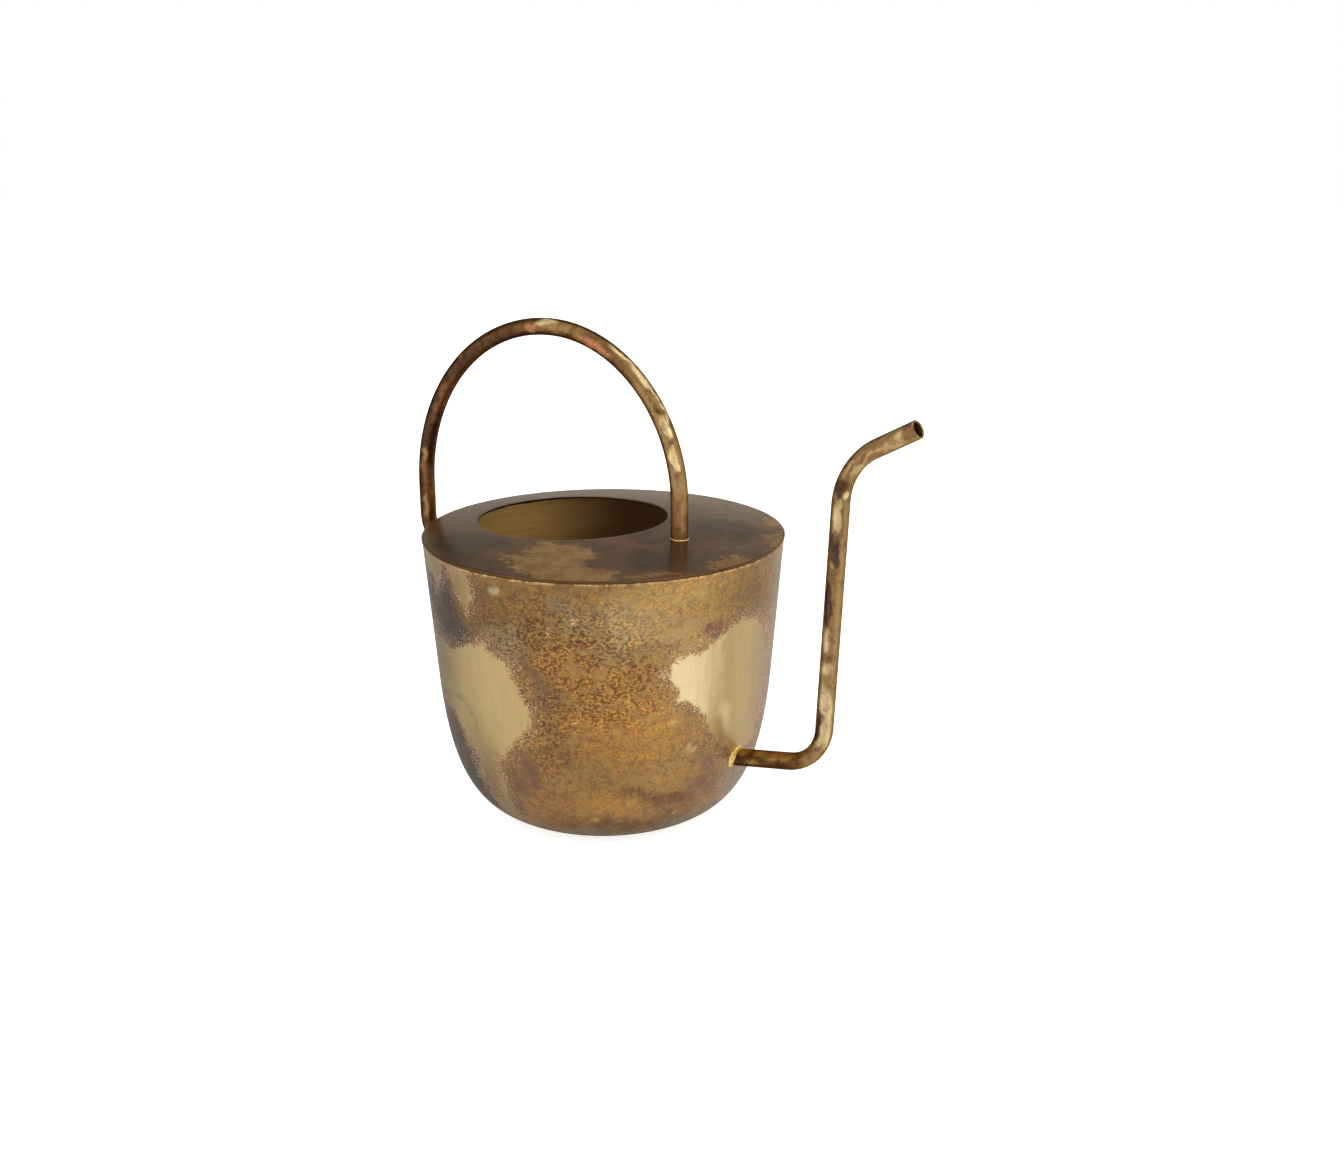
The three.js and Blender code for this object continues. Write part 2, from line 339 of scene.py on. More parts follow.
def handle_samples(spacing):
    front_x = CROWN_X + FRONT_ARC
    rear_x = CROWN_X - REAR_ARC
    front_z = CROWN_Z - FRONT_ARC
    rear_z = CROWN_Z - REAR_ARC
    end_z = REAR_LEG_END_Z - LEG_BEND
    quarter = math.pi / 2
    stretches = [
        ("line", Vector((front_x, plate_z(front_x, 0) - SEATING)), Vector((front_x, front_z))),
        ("arc", Vector((CROWN_X, front_z)), FRONT_ARC, 0, quarter),
        ("arc", Vector((CROWN_X, rear_z)), REAR_ARC, quarter, quarter),
        ("line", Vector((rear_x, rear_z)), Vector((rear_x, REAR_LEG_END_Z))),
        ("arc", Vector((rear_x + LEG_BEND, REAR_LEG_END_Z)), LEG_BEND, math.pi, quarter),
        ("line", Vector((rear_x + LEG_BEND, end_z)), Vector((-wall_radius(end_z) + SHEET / 3, end_z))),
    ]
    return sample_stretches(stretches, spacing)


def root_line_z(x):
    return ROOT_AXIS_Z + x * math.tan(ROOT_RISE)


def root_direction():
    return Vector((math.cos(ROOT_RISE), 0, math.sin(ROOT_RISE)))


def spout_wall_point():
    """Where the root's centre line leaves the bowl."""
    tries = 400
    for step in range(1, tries):
        place, _ = corner_point(step / tries)
        if place.x > BASE_FLAT_RADIUS + BASE_PULL and place.y >= root_line_z(place.x):
            return Vector((place.x, 0, place.y))
    raise ValueError("the spout's root misses the round corner")


def spout_samples(spacing):
    start_x = spout_wall_point().x - SHEET - ROOT_INSIDE
    lower = Vector((RISER_X, root_line_z(RISER_X)))
    upper = Vector((RISER_X + (RISER_TOP_Z - lower.y) * math.tan(RISER_LEAN), RISER_TOP_Z))
    tip = upper + Vector((math.cos(TIP_RISE), math.sin(TIP_RISE))) * TIP_LENGTH
    corners = [Vector((start_x, root_line_z(start_x))), lower, upper, tip]
    return bent_line(corners, [ROOT_BEND, TIP_BEND], spacing)


def make_tube(name, samples, flattening, material, node):
    """A hollow tube along samples, its ends rounded. Its bends are pressed oval: thinner in their plane, by
    the flattening, and a fifth of that wider across it."""
    sides = 56
    lip = TUBE_WALL * 0.3
    rings = []  # (place, direction, in-plane radius, cross radius)
    for place, direction, bend in samples:
        squeeze = flattening * bend
        rings.append((place, direction, TUBE_RADIUS * (1 - squeeze), TUBE_RADIUS * (1 + squeeze / 5)))
    inner = [shifted(ring, 0, -TUBE_WALL) for ring in rings]
    first = rings[0]
    last = rings[-1]
    loops = [shifted(first, 0, -lip), shifted(first, lip, 0)] + rings[1:-1]
    loops += [shifted(last, -lip, 0), shifted(last, 0, -lip)]
    loops += [shifted(inner[-1], 0, lip), shifted(inner[-1], -lip, 0)] + inner[1:-1][::-1]
    loops += [shifted(inner[0], lip, 0), shifted(inner[0], 0, lip)]
    points = []
    for place, direction, in_plane, across in loops:
        normal = Vector((-direction.y, direction.x))
        for out, aside in circle(sides):
            spot = place + normal * (in_plane * out)
            points.append((spot.x, across * aside, spot.y))
    faces = grid_faces(len(loops), sides, True)
    return new_piece(name, points, faces, material, node)


def shifted(ring, forward, grow):
    """A tube's ring moved along it and made larger."""
    place, direction, in_plane, across = ring
    return place + direction * forward, direction, in_plane + grow, across + grow


def wall_gap(point):
    """How far a point stands outside the bowl's wall, roughly."""
    return math.hypot(point.x, point.y) - outer_radius(point.z)


def outer_radius(height):
    """Radius of the bowl's outside at any height, found by halving on the round corner."""
    if height >= STRAIGHT_FROM:
        return wall_radius(height)
    low = 0
    high = 1
    for _ in range(24):
        middle = (low + high) / 2
        if corner_point(middle)[0].y < height:
            low = middle
        else:
            high = middle
    return corner_point(low)[0].x


def on_wall(point, direction):
    """Slides a point along a direction until it meets the bowl's wall."""
    for _ in range(12):
        point = point - direction * wall_gap(point)
    return point


def on_plate(point):
    return Vector((point.x, point.y, plate_z(point.x, point.y)))


def make_fillet(name, foot, direction, spread, rise, seat, seed, material, node):
    """Solder round a tube that leaves a surface at foot: an uneven ring, laid on the surface by seat(), that
    reaches spread out over it and rise up the tube."""
    sides = 64
    steps = 8
    hollowness = 0.9
    overlap = 0.02 * MM  # of the ring over the tube's surface
    tuck = 0.3 * MM  # of its inner edge into the tube
    root_depth = 0.2 * MM  # of that edge under the surface
    across = Vector((0, 1, 0))
    beside = direction.cross(across).normalized()
    rays = [across * x + beside * y for x, y in circle(sides)]
    points = []
    for step in range(steps + 1):
        angle = math.pi / 2 * step / steps
        for ray in rays:
            swell = 1 + 0.35 * noise.noise(ray * 1.3 + Vector((seed, 0, 0)))
            swell += 0.12 * noise.noise(ray * 5 + Vector((0, seed, 0)))
            radius = TUBE_RADIUS - overlap + spread * swell * (1 - math.sin(angle)) ** hollowness
            height = rise * swell * (1 - math.cos(angle))
            points.append(seat(foot + ray * radius) + direction * height)
    for ray in rays:
        points.append(seat(foot + ray * (TUBE_RADIUS - tuck)) - direction * root_depth)
    faces = grid_faces(steps + 2, sides, True)
    return new_piece(name, points, faces, material, node)


def make_seam_bead(material):
    """Solder in the inner corner under the plate, with a slightly wavy face."""
    sides = 256
    waviness = 0.25 * MM
    depth = 3 * MM
    low_radius = outer_radius(RIM_Z - depth) - SHEET
    high_radius = outer_radius(RIM_Z) - SHEET
    section = (
        (high_radius + 0.1 * MM, RIM_Z - depth), (high_radius + 0.1 * MM, RIM_Z + 0.2 * MM),
        (high_radius - 2.6 * MM, RIM_Z + 0.2 * MM), (high_radius - 1.5 * MM, RIM_Z - 0.7 * MM),
        (low_radius - 0.5 * MM, RIM_Z - 1.8 * MM),
    )
    points = []
    for radius, height in section:
        for x, y in circle(sides):
            wavy = radius + waviness * noise.noise(Vector((x * 6, y * 6, height * 300)))
            points.append((wavy * x, wavy * y, height))
    faces = grid_faces(len(section), sides, True)
    return new_piece("seam_bead", points, faces, material, "plate_seam_solder")


# -------------------- shader helpers
def tone(red, green, blue):
    """A linear colour from 0 to 255 screen values."""
    linear = []
    for value in (red, green, blue):
        share = value / 255
        linear.append(share / 12.92 if share <= 0.04045 else ((share + 0.055) / 1.055) ** 2.4)
    return (*linear, 1)


class Nodes:
    """A shader's nodes. Each method adds a node and gives its output; lengths are in millimetres."""

    def __init__(self, tree):
        self.tree = tree
        tree.nodes.clear()
        metres = self.add("ShaderNodeTexCoord", {}).outputs["Object"]
        self.place = self.vector("MULTIPLY", metres, (1 / MM, 1 / MM, 1 / MM))

    def add(self, kind, inputs, **settings):
        node = self.tree.nodes.new(kind)
        for name, value in settings.items():
            setattr(node, name, value)
        for key, value in inputs.items():
            if isinstance(value, bpy.types.NodeSocket):
                self.tree.links.new(value, node.inputs[key])
            else:
                node.inputs[key].default_value = value
        return node

    def math(self, operation, *values):
        return self.add("ShaderNodeMath", dict(enumerate(values)), operation=operation).outputs[0]

    def times(self, value, factor):
        return self.math("MULTIPLY", value, factor)

    def scaled(self, value, factor, offset):
        """The value times the factor, plus the offset."""
        return self.math("MULTIPLY_ADD", value, factor, offset)

    def vector(self, operation, *values):
        node = self.add("ShaderNodeVectorMath", dict(enumerate(values)), operation=operation)
        return node.outputs["Value" if operation in ("LENGTH", "DOT_PRODUCT") else "Vector"]

    def stretched(self, factors):
        """The place with each axis multiplied, so that a pattern gets finer along it, or coarser below 1."""
        return self.vector("MULTIPLY", self.place, factors)

    def ease(self, value, low, high):
        """0 at low and 1 at high, with soft ends."""
        inputs = {"Value": value, "From Min": low, "From Max": high}
        return self.add("ShaderNodeMapRange", inputs, interpolation_type="SMOOTHSTEP").outputs[0]

    def noise(self, place, size, detail=4, rough=0.55):
        """Noise from 0 to 1 whose largest features are about size across."""
        inputs = {"Vector": place, "Scale": 1 / size, "Detail": detail, "Roughness": rough}
        return self.add("ShaderNodeTexNoise", inputs).outputs["Fac"]

    def painted(self, name, output="Fac"):
        """A value, or with the output Color a colour, painted on the mesh's points."""
        return self.add("ShaderNodeAttribute", {}, attribute_name=name).outputs[output]

    def mix(self, share, below, above, blend="MIX"):
        inputs = {0: share, 6: below, 7: above}
        return self.add("ShaderNodeMix", inputs, data_type="RGBA", blend_type=blend).outputs[2]

    def tinted(self, share, shade, factors):
        """Multiplies a colour's red, green and blue where share is 1."""
        return self.mix(share, shade, (*factors, 1), "MULTIPLY")

    def shaded(self, shade, *values):
        """Multiplies a colour by values."""
        product = values[0]
        for value in values[1:]:
            product = self.times(product, value)
        grey = self.add("ShaderNodeCombineColor", {0: product, 1: product, 2: product}).outputs[0]
        return self.mix(1, shade, grey, "MULTIPLY")

    def bump(self, height, distance):
        """Normals of a relief whose height runs from 0 to 1 over the given depth."""
        inputs = {"Height": height, "Strength": 1, "Distance": distance * MM}
        return self.add("ShaderNodeBump", inputs).outputs[0]

    def metal(self, colour, metallic, roughness, normal, edge=(1, 1, 1, 1)):
        inputs = {"Base Color": colour, "Metallic": metallic, "Roughness": roughness, "Normal": normal}
        inputs["Specular Tint"] = edge
        shader = self.add("ShaderNodeBsdfPrincipled", inputs)
        self.add("ShaderNodeOutputMaterial", {0: shader.outputs[0]})


def new_material(name):
    material = bpy.data.materials.new(name)
    material.use_nodes = True
    return material, Nodes(material.node_tree)


# -------------------- painting on mesh points
def point_places(piece):
    places = np.empty(len(piece.data.vertices) * 3)
    piece.data.vertices.foreach_get("co", places)
    return places.reshape(-1, 3) / MM


def paint(piece, name, values):
    """Stores one value, or one colour, for each point of the mesh."""
    is_colour = values.ndim == 2
    layer = piece.data.attributes.new(name, "FLOAT_VECTOR" if is_colour else "FLOAT", "POINT")
    layer.data.foreach_set("vector" if is_colour else "value", np.ascontiguousarray(values).ravel())


def wander(places, size, amount):
    """Smooth pushes in two directions, up to amount, that loosen the outlines of what is painted. They change
    over size; both are in millimetres."""
    pushes = [noise.noise_vector(Vector(place) / size)[:2] for place in places]
    return np.array(pushes) * amount


def ellipse_field(flat, centre, half_length, half_width, tilt=0):
    """How far inside an ellipse each point lies, in millimetres; negative outside. The tilt is in degrees."""
    offset = flat - np.array(centre)
    angle = math.radians(tilt)
    along = offset[:, 0] * math.cos(angle) + offset[:, 1] * math.sin(angle)
    across = offset[:, 1] * math.cos(angle) - offset[:, 0] * math.sin(angle)
    return (1 - np.hypot(along / half_length, across / half_width)) * min(half_length, half_width)


def outline_field(flat, outline):
    """How far inside a closed outline each point lies; negative outside."""
    nearest = np.full(len(flat), np.inf)
    inside = np.zeros(len(flat), dtype=bool)
    corners = [np.array(corner, dtype=float) for corner in outline]
    for start, end in zip(corners, corners[1:] + corners[:1]):
        side = end - start
        offset = flat - start
        share = np.clip(offset @ side / (side @ side), 0, 1)
        nearest = np.minimum(nearest, np.linalg.norm(offset - share[:, None] * side, axis=1))
        spans = (start[1] > flat[:, 1]) != (end[1] > flat[:, 1])
        rise = side[1] if side[1] else 1
        crossing = start[0] + (flat[:, 1] - start[1]) * side[0] / rise
        inside ^= spans & (flat[:, 0] < crossing)
    return np.where(inside, nearest, -nearest)


def plain(places, colour):
    """The same colour for every point."""
    return np.tile(np.array(tone(*colour)[:3]), (len(places), 1))


def lay(colours, field, colour, strength, softness):
    """Covers colours with another where field is positive, with an edge as soft as given."""
    share = np.clip(field / softness * 0.5 + 0.5, 0, 1)
    share = strength * share * share * (3 - 2 * share)
    return colours + (np.array(tone(*colour)[:3]) - colours) * share[:, None]


# -------------------- the bowl's patina
UNROLL_RADIUS = 70  # mm, at which an azimuth is taken as a length
OUTSIDE = -100.0  # the field of a point that is in none of the places painted
# The side towards which painted shade darkens the bowl's inside.
SHADED_SIDE = (math.cos(VIEW_AZIMUTH), math.sin(VIEW_AZIMUTH))  # of the bowl's inside

# Outlines of worn, bare brass: azimuth in degrees and height in mm.
BARE_OUTLINES = (
    ((-130, 80), (-124, 82), (-117, 80), (-108, 83), (-97, 88), (-92, 89.5), (-89, 86), (-84, 84.5),
     (-81.5, 80), (-79, 70), (-75.5, 65), (-76, 60), (-83, 50), (-90, 40), (-91, 28), (-90, 12),
     (-97, 12), (-99, 26), (-103, 37), (-109, 48), (-116, 56), (-122, 64), (-130, 66)),
    ((-104, 121), (-97, 121), (-96, 108), (-97.5, 102), (-101, 107), (-106, 116)),
    ((-120, 121), (-109, 121), (-111, 113), (-115, 107), (-118, 111), (-124, 110), (-128, 121)),
    ((-32, 79), (-29.5, 74), (-29, 68), (-24, 67), (-19, 60), (-14, 50), (-9, 43), (0, 36), (9, 40), (13, 52),
     (14, 72), (11, 86), (4, 94), (-5, 97), (-12, 94), (-18, 90), (-20, 87), (-29, 86)),
    ((98, 40), (92, 60), (100, 78), (122, 90), (146, 86), (150, 66), (138, 50), (118, 38)),
    ((152, 121), (166, 121), (160, 104), (156, 98)),
    ((-176, 30), (-158, 26), (-152, 44), (-166, 54)),
    ((62, 98), (78, 100), (86, 90), (72, 84)),
)
# Where their outlines fade out instead of ending at an edge: azimuth, height, half width, half height.
FADING = ((15, 62, 16, 40), (-128, 74, 18, 30), (-98, 40, 12, 30), (150, 70, 20, 40))
BARE_BRASS = (194, 168, 114)
# Tints of the bare brass, and one painted highlight: colour, strength, softness (mm), then for each ellipse
# its azimuth, height, half width, half height and, unless it is level, its tilt in degrees.
BRASS_TINTS_AND_HIGHLIGHT = (
    ((120, 98, 64), 0.85, 12, ((-128, 68, 18, 34), (-97, 26, 8, 18), (140, 60, 20, 30))),
    ((150, 122, 84), 0.8, 5, ((-118, 112, 12, 12), (-100, 108, 6, 12))),
    ((188, 152, 78), 0.8, 6, ((-11, 47, 5, 12, 30), (-6, 40, 8, 6))),
    ((150, 118, 78), 0.7, 1, ((-112, 61, 7, 0.9, -14), (-103, 56, 6, 0.9, -40))),
    ((158, 132, 98), 0.85, 10, ((14, 70, 10, 40),)),
    # Painted highlight: a pale band that makes up for the spout's dark reflection in the brass.
    ((232, 208, 154), 0.9, 3, ((-14.4, 82, 3.6, 26), (-11, 56, 3, 12, 23), (-5.6, 44, 2.6, 8, 39))),
)
# A cream area with a sharp upright edge in the bare brass left of the spout: the painted reflection of a
# light panel.
CREAM_REFLECTION = (232, 212, 162)
CREAM_REFLECTION_OUTLINE = ((-17, 98), (-17, 60), (-30, 45), (-48, 45), (-48, 98))
BODY_BASE = (150, 120, 75)
# Tints of the patina, and painted reflections, in the same order.
BODY_TINTS_AND_REFLECTIONS = (
    ((112, 86, 56), 0.85, 14, ((-106, 98, 40, 28), (-92, 112, 30, 10))),
    ((98, 79, 57), 0.9, 12, ((-122, 26, 30, 36), (-150, 70, 38, 70))),
    ((134, 102, 68), 0.7, 8, ((-72, 68, 11, 16), (-84, 30, 18, 16, 30), (-64, 46, 26, 6, 10))),
    ((170, 128, 72), 0.8, 8, ((-54, 25, 26, 7, 8), (-44, 60, 24, 16), (-56, 84, 18, 8))),
    ((130, 97, 65), 0.8, 8, ((-72, 19, 12, 8),)),
    ((142, 126, 94), 0.8, 5, (
        (-61, 105, 8, 8), (-48, 92, 9, 5), (-47, 103, 8, 6), (-84, 92, 10, 8, 20),
    )),
    ((176, 150, 104), 0.8, 6, ((-42, 103, 12, 8), (-30, 98, 12, 5), (-24, 90, 9, 3))),
    ((176, 146, 92), 0.8, 5, ((-26, 113, 20, 6), (-14, 106, 7, 10))),
    ((126, 100, 62), 0.8, 9, ((6, 106, 20, 13),)),
    ((124, 100, 80), 0.7, 5, ((-26, 22, 12, 4, 10),)),
    # Painted reflection: a light grey band low round the front, where the wall turns under towards the white
    # table.
    ((146, 136, 120), 0.85, 4, ((-58, 6, 60, 5), (-10, 7, 34, 8))),
    ((152, 120, 86), 0.6, 5, ((-14, 30, 10, 12, 30), (-20, 48, 8, 6, 20))),
    # Painted reflection: grey near the right-hand limb, and low down towards it.
    ((150, 134, 116), 0.85, 10, ((24, 60, 10, 70), (8, 20, 16, 12, -20))),
    # Painted reflection: greyish brown along the left-hand limb.
    ((104, 90, 78), 0.8, 8, ((-142, 60, 14, 70),)),
    ((134, 104, 68), 0.7, 12, ((90, 30, 50, 20), (170, 60, 40, 30))),
    ((164, 130, 80), 0.5, 16, ((70, 60, 20, 24, 20), (-162, 84, 22, 12, 30), (120, 108, 30, 8))),
)
STAINS = (
    ((68, 60, 55), ((-112, 98, 9, 13), (-105, 92, 8, 7, 20), (-122, 100, 7, 14), (-130, 92, 9, 12))),
    ((64, 68, 62), ((-117, 97, 3, 12, 8), (-108, 104, 3, 8, 20), (-127, 90, 3, 14), (-112, 24, 9, 7))),
    ((88, 68, 52), ((-108, 34, 7, 7, 30), (-114, 46, 5, 9, 40), (-120, 30, 9, 16), (-106, 18, 8, 7))),
    ((108, 84, 68), ((-84, 31, 5, 7, 30), (-79, 38, 3, 7, 40), (-88, 20, 4, 5), (-73, 78, 2, 7, 20))),
    ((96, 68, 50), (
        (-33, 27, 9, 1.8, -16), (-28, 24, 5, 1.6), (-42, 31, 6, 1.3, -10), (-46, 14, 14, 1.6),
    )),
    ((124, 98, 76), ((3, 97, 10, 1.4, 6), (12, 93, 6, 2, -24), (-17, 95, 3, 3), (-24, 62, 2, 2))),
    ((122, 96, 80), ((-16, 36, 2, 8, 40), (-12, 27, 6, 3, 20), (-20, 30, 4, 2), (-25, 70, 3, 2.5))),
    ((104, 82, 66), (
        (62, 40, 20, 5, 30), (56, 34, 8, 10, -20), (42, 101, 3, 9, 20), (38, 96, 8, 3),
        (176, 88, 16, 4, -30), (168, 80, 6, 12, 20), (140, 26, 24, 4, 8), (150, 32, 10, 6, -20),
        (112, 112, 22, 2),
    )),
)
SPECKLED = ((-66, 92, 30, 16), (-52, 78, 22, 18), (-74, 64, 14, 22), (100, 60, 40, 30))
# Small spots: colour, then azimuth, height and half width.
SPOTS = (
    ((206, 168, 132), ((-69, 99, 1.3), (-24, 47, 1.2), (-22.5, 46, 1), (-34, 80, 1.3), (-61, 104, 1.2))),
    ((166, 158, 124), ((-86, 113.5, 1.8),)),
    ((140, 92, 76), ((-59, 94, 1.6), (-18.5, 97, 1.8), (-15, 96.5, 1.4), (-16, 29, 2.6))),
    ((196, 160, 104), ((-56, 17, 1), (-26, 15, 1.2), (-121, 34, 2.4), (-62, 62, 1), (-30, 60, 1))),
)


def from_azimuth(azimuth, start):
    """Millimetres round the unrolled wall from a starting azimuth, both in degrees."""
    return ((azimuth - start + 180) % 360 - 180) * math.radians(UNROLL_RADIUS)


def wall_field(azimuth, height, ellipses):
    """How far inside any of the ellipses each point of the wall lies."""
    whole = np.full(len(height), OUTSIDE)
    for start, middle, *shape in ellipses:
        flat = np.stack((from_azimuth(azimuth, start), height), axis=1)
        whole = np.maximum(whole, ellipse_field(flat, (0, middle), *shape))
    return whole


def wall_outline_field(azimuth, height, outline):
    start = outline[0][0]
    flat = np.stack((from_azimuth(azimuth, start), height), axis=1)
    return outline_field(flat, [(from_azimuth(turn, start), level) for turn, level in outline])


def paint_bowl(bowl):
    places = point_places(bowl)
    azimuth = np.degrees(np.arctan2(places[:, 1], places[:, 0]))
    height = places[:, 2]
    drift = wander(places, 13, 4) + wander(places, 5, 1.5)
    loose = (azimuth + np.degrees(drift[:, 0] / UNROLL_RADIUS), height + drift[:, 1])
    drift = wander(places, 9, 1.2)
    tight = (azimuth + np.degrees(drift[:, 0] / UNROLL_RADIUS), height + drift[:, 1])

    colours = plain(places, BODY_BASE)
    for colour, strength, softness, ellipses in BODY_TINTS_AND_REFLECTIONS:
        colours = lay(colours, wall_field(*loose, ellipses), colour, strength, softness)
    for colour, spots in SPOTS:
        ellipses = [(start, middle, size * 1.2, size) for start, middle, size in spots]
        colours = lay(colours, wall_field(*tight, ellipses), colour, 0.9, 0.5)
    paint(bowl, "tint", colours)

    stain_colours = plain(places, STAINS[0][0])
    stain_field = np.full(len(places), OUTSIDE)
    for colour, ellipses in STAINS:
        field = wall_field(*loose, ellipses)
        stain_colours[field > stain_field] = tone(*colour)[:3]
        stain_field = np.maximum(stain_field, field)
    paint(bowl, "stain", stain_field)
    paint(bowl, "stain_tint", stain_colours)

    worn = np.full(len(places), OUTSIDE)
    for outline in BARE_OUTLINES:
        worn = np.maximum(worn, wall_outline_field(*tight, outline))
    fading = np.clip(wall_field(azimuth, height, FADING) / 8 + 0.5, 0, 1)
    paint(bowl, "worn", worn * (1 - 0.75 * fading))
    brass = plain(places, BARE_BRASS)
    for colour, strength, softness, ellipses in BRASS_TINTS_AND_HIGHLIGHT:
        brass = lay(brass, wall_field(*loose, ellipses), colour, strength, softness)
    # The painted reflection of a light panel, laid as a cream area on the bare brass.
    cream_reflection = wall_outline_field(azimuth, height, CREAM_REFLECTION_OUTLINE)
    brass = lay(brass, cream_reflection, CREAM_REFLECTION, 0.9, 1.6)
    paint(bowl, "brass", brass)
    speckled = wall_field(*loose, SPECKLED)
    paint(bowl, "speckled", np.clip(speckled / 20 + 0.75, 0.35, 1))


def drifting_patina(nodes, hues, groups):
    """The painted tint, clouded over 22 mm, that drifts between brown, gold and orange."""
    shade = nodes.painted("tint", "Color")
    cloud = nodes.noise(nodes.place, 22, 5)
    shade = nodes.shaded(shade, nodes.scaled(cloud, 0.5, 0.75))
    shade = nodes.tinted(nodes.ease(hues, 0.48, 0.6), shade, (1.12, 1.05, 0.84))
    shade = nodes.tinted(nodes.ease(hues, 0.5, 0.38), shade, (0.84, 0.8, 0.86))
    return nodes.tinted(nodes.ease(groups, 0.5, 0.64), shade, (1.14, 1.02, 0.96))


def speckled_patina(nodes, shade, cells, groups):
    """Dark dots and golden gaps a millimetre across, in loose groups. Gives the shade and the dots."""
    grouped = nodes.times(nodes.painted("speckled"), nodes.ease(groups, 0.32, 0.54))
    dots = nodes.times(nodes.ease(cells, 0.47, 0.56), grouped)
    shade = nodes.tinted(dots, shade, (0.48, 0.39, 0.31))
    gaps = nodes.times(nodes.ease(cells, 0.46, 0.36), grouped)
    return nodes.tinted(gaps, shade, (1.34, 1.32, 1.16)), dots


def stained_patina(nodes, shade, cells, frayed):
    stain = nodes.math("ADD", nodes.painted("stain"), frayed)
    stain = nodes.times(nodes.ease(stain, -3.5, 3), nodes.scaled(cells, -1.6, 1.6))
    return nodes.mix(stain, shade, nodes.painted("stain_tint", "Color"))


def fringed_patina(nodes, shade, worn, groups, grain):
    """Round worn places the patina is reddish, and sprayed with pale, pinkish grains."""
    fringe = nodes.times(nodes.ease(worn, -9, -1), nodes.ease(groups, 0.38, 0.62))
    shade = nodes.mix(nodes.times(fringe, 0.4), shade, tone(122, 92, 72))
    sprayed = nodes.scaled(worn, 0.016, nodes.scaled(groups, 0.25, grain))
    return nodes.mix(nodes.times(nodes.ease(sprayed, 0.62, 0.7), 0.7), shade, tone(204, 172, 134))


def painted_rim_highlight(nodes, shade, hues):
    """A ragged, bright line just under the plate: a painted highlight where the rim catches the light."""
    height = nodes.add("ShaderNodeSeparateXYZ", {0: nodes.place}).outputs[2]
    rim = nodes.ease(height, RIM_Z / MM - 1.4, RIM_Z / MM - 0.2)
    line = nodes.times(rim, nodes.ease(hues, 0.46, 0.6))
    return nodes.mix(nodes.times(line, 0.8), shade, tone(214, 174, 120))


def body_brass():
    """The bowl's outside: speckled patina, worn through to brushed, pale brass."""
    material, nodes = new_material("patinated_bowl")
    grain = nodes.noise(nodes.place, 0.8, 5, 0.7)
    wide = nodes.stretched((1, 1, 1.35))
    cells = nodes.noise(wide, 1.3, 2, 0.6)
    groups = nodes.noise(wide, 6, 4, 0.6)
    hues = nodes.noise(wide, 3.4, 3, 0.6)
    tall = nodes.stretched((1, 1, 0.65))
    frayed = nodes.scaled(nodes.noise(tall, 3, 6, 0.75), 12, -6)

    shade = drifting_patina(nodes, hues, groups)
    shade, dots = speckled_patina(nodes, shade, cells, groups)
    shade = stained_patina(nodes, shade, cells, frayed)
    worn = nodes.scaled(frayed, 0.7, nodes.painted("worn"))
    worn = nodes.scaled(nodes.math("SUBTRACT", cells, 0.5), 6, worn)
    shade = fringed_patina(nodes, shade, worn, groups, grain)
    shade = painted_rim_highlight(nodes, shade, hues)

    # The grain darkens the patina in fine dots but bare brass evenly, and the last step makes up for that.
    bare = nodes.ease(worn, -0.6, 1.2)
    brushed = nodes.noise(nodes.stretched((0.8, 0.8, 0.05)), 1.2, 4)
    brass = nodes.shaded(nodes.painted("brass", "Color"), nodes.scaled(brushed, 0.24, 0.88))
    shade = nodes.mix(bare, shade, brass)
    shade = nodes.shaded(shade, nodes.scaled(grain, nodes.scaled(bare, -0.9, 1.1), 0.5))
    shade = nodes.tinted(bare, shade, (1.45, 1.45, 1.45))

    # The patina is rough under the hand and bare brass nearly smooth, and gentle waves run through both.
    relief = nodes.scaled(dots, 0.5, nodes.times(grain, 0.5))
    relief = nodes.times(relief, nodes.scaled(bare, -0.9, 1))
    waves = nodes.noise(nodes.place, 18, 2)
    relief = nodes.scaled(waves, 1.2, relief)
    roughness = nodes.scaled(nodes.math("SUBTRACT", 1, bare), nodes.times(grain, 0.16), 0.38)
    nodes.metal(shade, 0.87, roughness, nodes.bump(relief, 0.1))
    return material


def inner_brass():
    """The bowl's inside: golden brass with the lines of spinning, and painted shade that darkens one side."""
    material, nodes = new_material("bowl_inside")
    lines = nodes.noise(nodes.stretched((0.02, 0.02, 1)), 1.1, 4)
    broad = nodes.noise(nodes.stretched((0.2, 0.2, 1)), 12, 4)
    shade = nodes.mix(nodes.ease(lines, 0.3, 0.7), tone(232, 184, 104), tone(244, 200, 118))
    shade = nodes.mix(nodes.ease(broad, 0.45, 0.7), shade, tone(220, 172, 96))
    # Painted shade: the inside darkens towards one side.
    side = nodes.vector("DOT_PRODUCT", nodes.place, (*SHADED_SIDE, 0))
    side = nodes.scaled(broad, 14, side)
    shade = nodes.mix(nodes.ease(side, -36, 18), shade, tone(108, 74, 30))
    roughness = nodes.scaled(lines, 0.1, 0.42)
    nodes.metal(shade, 0.6, roughness, nodes.bump(lines, 0.03))
    return material


